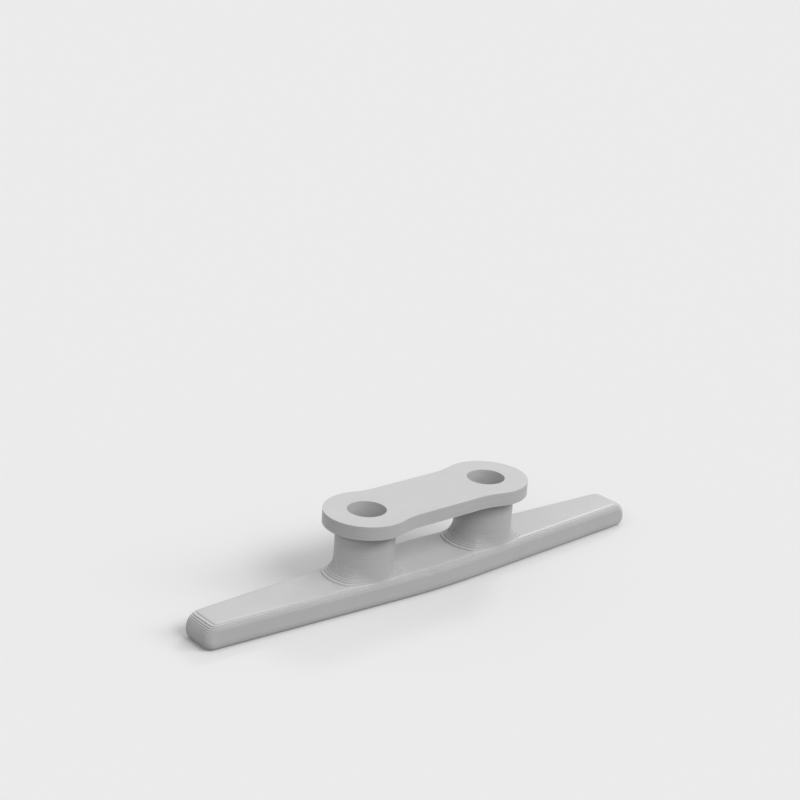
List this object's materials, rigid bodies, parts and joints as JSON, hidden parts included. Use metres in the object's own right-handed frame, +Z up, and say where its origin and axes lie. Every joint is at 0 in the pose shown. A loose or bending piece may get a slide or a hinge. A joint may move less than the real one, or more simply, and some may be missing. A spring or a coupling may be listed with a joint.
{
  "type": "cleat",
  "caption": "One-piece horn cleat: waisted base plate with plain screw holes down its round legs, and a tapered bar with blunt rounded tips as its horns.",
  "frame": {"origin": "centre of the underside of the horn bar, which lies on the ground with the base plate on top", "axes": "+X along the horn bar; +Y across it; +Z up, from the horn bar to the deck face of the base plate"},
  "size_m": [0.0706, 0.011, 0.0118],
  "materials": {
    "cleat_body": "satin light grey printed plastic with fine layer lines"
  },
  "bodies": {
    "root": {"cleat": "cleat_body"}
  },
  "joints": []
}
